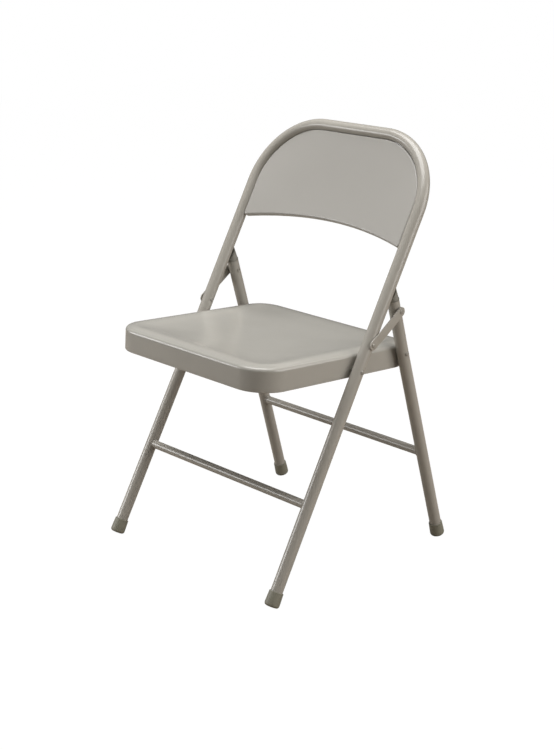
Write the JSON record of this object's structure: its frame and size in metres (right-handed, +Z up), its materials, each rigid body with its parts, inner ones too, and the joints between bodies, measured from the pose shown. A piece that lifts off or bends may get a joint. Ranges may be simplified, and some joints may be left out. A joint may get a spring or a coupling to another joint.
{
  "type": "folding chair",
  "caption": "Steel folding chair: bent tube front frame with curved sheet back, pressed steel seat, hinged rear legs and side links.",
  "frame": {"origin": "on the floor, at the centre of the footprint", "axes": "+Z up, the sitter faces -Y, +X is the sitter's left"},
  "size_m": [0.462, 0.4726, 0.778],
  "materials": {
    "frame_enamel": "semi-gloss warm light grey enamel over steel tube",
    "panel_enamel": "semi-gloss warm light grey enamel over steel sheet",
    "seat_enamel": "semi-gloss warm light grey enamel over pressed steel sheet",
    "foot_plastic": "matt grey-green moulded plastic",
    "cap_plastic": "matt grey moulded plastic",
    "rivet_steel": "dull steel under thin enamel"
  },
  "bodies": {
    "front_frame_body": {"front_frame": "frame_enamel", "back_panel": "panel_enamel", "front_stretcher": "frame_enamel", "front_foot_left": "foot_plastic", "front_foot_right": "foot_plastic", "seat_rail_rivet_left": "rivet_steel", "seat_rail_rivet_right": "rivet_steel", "link_rail_rivet_left": "rivet_steel", "link_rail_rivet_right": "rivet_steel"},
    "seat_body": {"seat_pan": "seat_enamel", "seat_rail_spacer_left": "rivet_steel", "seat_rail_spacer_right": "rivet_steel", "seat_leg_rivet_tail_left": "rivet_steel", "seat_leg_rivet_tail_right": "rivet_steel"},
    "links_body": {"link_left": "frame_enamel", "link_right": "frame_enamel", "link_leg_rivet_left": "rivet_steel", "link_leg_rivet_right": "rivet_steel", "link_leg_washer_left": "rivet_steel", "link_leg_washer_right": "rivet_steel"},
    "rear_legs_body": {"rear_leg_left": "frame_enamel", "rear_leg_right": "frame_enamel", "rear_stretcher": "frame_enamel", "leg_top_cap_left": "cap_plastic", "leg_top_cap_right": "cap_plastic", "rear_foot_left": "foot_plastic", "rear_foot_right": "foot_plastic", "seat_leg_rivet_left": "rivet_steel", "seat_leg_rivet_right": "rivet_steel", "seat_leg_spacer_left": "rivet_steel", "seat_leg_spacer_right": "rivet_steel"}
  },
  "joints": [
    {"name": "seat_fold", "type": "hinge", "parent": "front_frame_body", "child": "seat_body", "pos_m": [0, -0.0103, 0.3865], "axis": [-1, 0, 0], "range_deg": [0, 110]},
    {"name": "link_swing", "type": "hinge", "parent": "front_frame_body", "child": "links_body", "pos_m": [0, 0.01504, 0.43134], "axis": [-1, 0, 0], "range_deg": [0, 134.72]},
    {"name": "leg_swing", "type": "hinge", "parent": "links_body", "child": "rear_legs_body", "pos_m": [0, 0.08546, 0.47969], "axis": [1, 0, 0], "range_deg": [0, 89.06]}
  ],
  "couplings": [
    {"joint": "link_swing", "follows": "seat_fold", "ratio": 1.2247},
    {"joint": "leg_swing", "follows": "seat_fold", "ratio": 0.8096}
  ]
}
